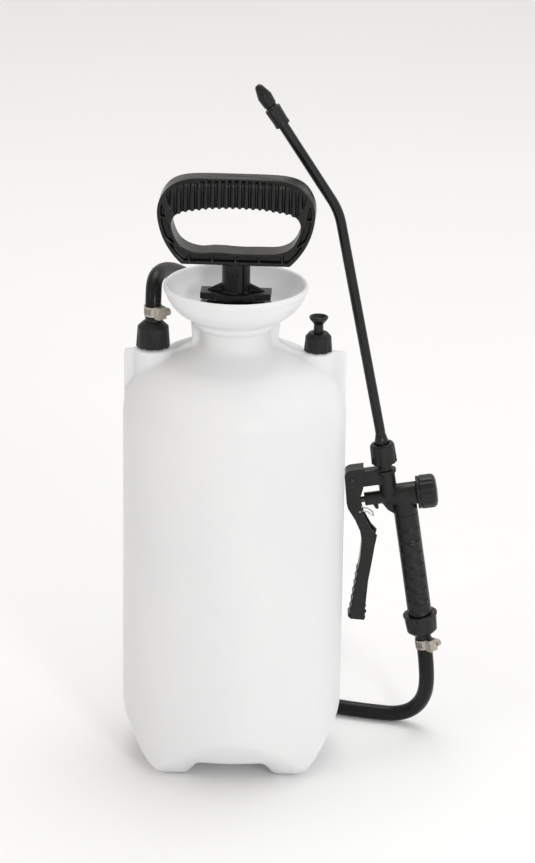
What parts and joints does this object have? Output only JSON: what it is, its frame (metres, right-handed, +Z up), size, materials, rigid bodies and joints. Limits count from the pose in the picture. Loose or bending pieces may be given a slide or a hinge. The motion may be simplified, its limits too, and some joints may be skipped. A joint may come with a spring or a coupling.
{
  "type": "pump sprayer",
  "caption": "Hand-pumped pressure sprayer: plastic tank with filling funnel, plunger pump with D-handle, hose, trigger gun and bent lance with turning nozzle.",
  "frame": {"origin": "where the tank's axis meets the floor it stands on", "axes": "+Z up along the tank and pump axis, +X towards the gun in the plane of the tank's side webs, +Y towards the back, where the hose lies"},
  "size_m": [0.2785, 0.3846, 0.5903],
  "materials": {
    "tank_white": "satin, faintly translucent",
    "black_plastic": "satin moulded",
    "handle_black": "satin moulded",
    "lever_black": "satin moulded",
    "grip_black": "satin moulded",
    "lance_black": "smooth",
    "hose_black": "smooth",
    "clamp_steel": "zinc plated",
    "wire_steel": "bright drawn",
    "pin_steel": "blackened",
    "seal_rubber": "matt",
    "inner_plastic": "plain",
    "stem_brass": "machined"
  },
  "bodies": {
    "sprayer": {"tank_base": "tank_white", "tank_wall": "tank_white", "tank_shoulder": "tank_white", "tank_dome": "tank_white", "tank_funnel": "tank_white", "outlet_shoulder": "tank_white", "relief_shoulder": "tank_white", "outlet_nut": "black_plastic", "outlet_seal": "seal_rubber", "outlet_barb": "black_plastic", "dip_tube": "inner_plastic", "dip_strainer": "inner_plastic", "relief_nut": "black_plastic", "relief_spring": "wire_steel", "gun_body": "black_plastic", "lever_pin": "pin_steel", "stem_seal": "seal_rubber", "gland_ring": "stem_brass", "valve_spring": "wire_steel", "valve_cap": "black_plastic", "cap_seal": "seal_rubber", "grip": "grip_black", "gun_filter": "inner_plastic", "grip_nut": "black_plastic", "grip_gasket": "seal_rubber", "gun_barb": "black_plastic", "lance_nut": "black_plastic", "lance_seal": "seal_rubber", "hose": "hose_black", "upper_clamp_band": "clamp_steel", "upper_clamp_screw": "clamp_steel", "lower_clamp_band": "clamp_steel", "lower_clamp_screw": "clamp_steel"},
    "pump_seal": {"lid_seal": "seal_rubber"},
    "pump_barrel": {"pump_lid": "black_plastic", "rod_wiper": "seal_rubber", "pump_cylinder": "inner_plastic", "cylinder_foot": "inner_plastic"},
    "check_valve": {"check_disc": "seal_rubber"},
    "plunger": {"piston": "inner_plastic", "piston_cup": "seal_rubber", "piston_screw": "inner_plastic"},
    "handle": {"handle_grip": "handle_black", "pump_rod": "black_plastic", "handle_rivet": "pin_steel"},
    "relief": {"relief_knob": "black_plastic", "relief_piston": "black_plastic", "relief_seal": "seal_rubber"},
    "trigger": {"lever": "lever_black"},
    "trigger_lock": {"lock_wire": "wire_steel"},
    "valve": {"valve_stem": "stem_brass", "valve_washer": "seal_rubber"},
    "spray_lance": {"lance": "lance_black", "lance_ferrule": "black_plastic", "nozzle_holder": "black_plastic", "nozzle_core": "stem_brass", "nozzle_seal": "seal_rubber"},
    "nozzle_face_seal": {"nozzle_gasket": "seal_rubber"},
    "nozzle": {"nozzle_cap": "black_plastic"}
  },
  "joints": [
    {"name": "pump_lift", "type": "slide", "parent": "sprayer", "child": "pump_seal", "axis": [0, 0, 1], "range_m": [0, 0.3]},
    {"name": "pump_unscrew", "type": "hinge", "parent": "pump_seal", "child": "pump_barrel", "pos_m": [0, 0, 0.405], "axis": [0, 0, 1], "range_deg": [0, 540]},
    {"name": "check_valve_lift", "type": "slide", "parent": "pump_barrel", "child": "check_valve", "axis": [0, 0, -1], "range_m": [0, 0.0015], "stiffness_N_per_m": 150},
    {"name": "pump_stroke", "type": "slide", "parent": "pump_barrel", "child": "plunger", "axis": [0, 0, 1], "range_m": [0, 0.17]},
    {"name": "handle_twist", "type": "hinge", "parent": "plunger", "child": "handle", "pos_m": [0, 0, 0.48], "axis": [0, 0, 1], "range_deg": [0, 90]},
    {"name": "relief_pull", "type": "slide", "parent": "sprayer", "child": "relief", "axis": [0, 0, 1], "range_m": [0, 0.004], "stiffness_N_per_m": 1500, "springref_m": -0.003, "deforming": ["relief_spring"]},
    {"name": "lever_squeeze", "type": "hinge", "parent": "sprayer", "child": "trigger", "pos_m": [0.1025, 0.034, 0.24148], "axis": [0, -1, 0], "range_deg": [0, 12], "stiffness_Nm_per_rad": 1.2, "springref_deg": -11.46},
    {"name": "lock_wire_swing", "type": "hinge", "parent": "trigger", "child": "trigger_lock", "pos_m": [0.10946, 0.034, 0.2122], "axis": [0, -1, 0], "range_deg": [0, 15]},
    {"name": "valve_push", "type": "slide", "parent": "sprayer", "child": "valve", "axis": [0.9882, 0, 0.153], "range_m": [0, 0.0046], "stiffness_N_per_m": 400, "springref_m": -0.004, "deforming": ["valve_spring"]},
    {"name": "lance_swivel", "type": "hinge", "parent": "sprayer", "child": "spray_lance", "pos_m": [0.12756, 0.034, 0.26914], "axis": [-0.153, 0, 0.9882], "range_deg": [-180, 180]},
    {"name": "nozzle_advance", "type": "slide", "parent": "spray_lance", "child": "nozzle_face_seal", "axis": [-0.5444, 0, 0.8388], "range_m": [0, 0.0016]},
    {"name": "nozzle_twist", "type": "hinge", "parent": "nozzle_face_seal", "child": "nozzle", "pos_m": [0.03589, 0.034, 0.55802], "axis": [-0.5444, 0, 0.8388], "range_deg": [0, 450]}
  ],
  "couplings": [
    {"joint": "valve_push", "follows": "lever_squeeze", "m_per_rad": 0.02125},
    {"joint": "nozzle_advance", "follows": "nozzle_twist", "m_per_rad": 0.0002}
  ]
}
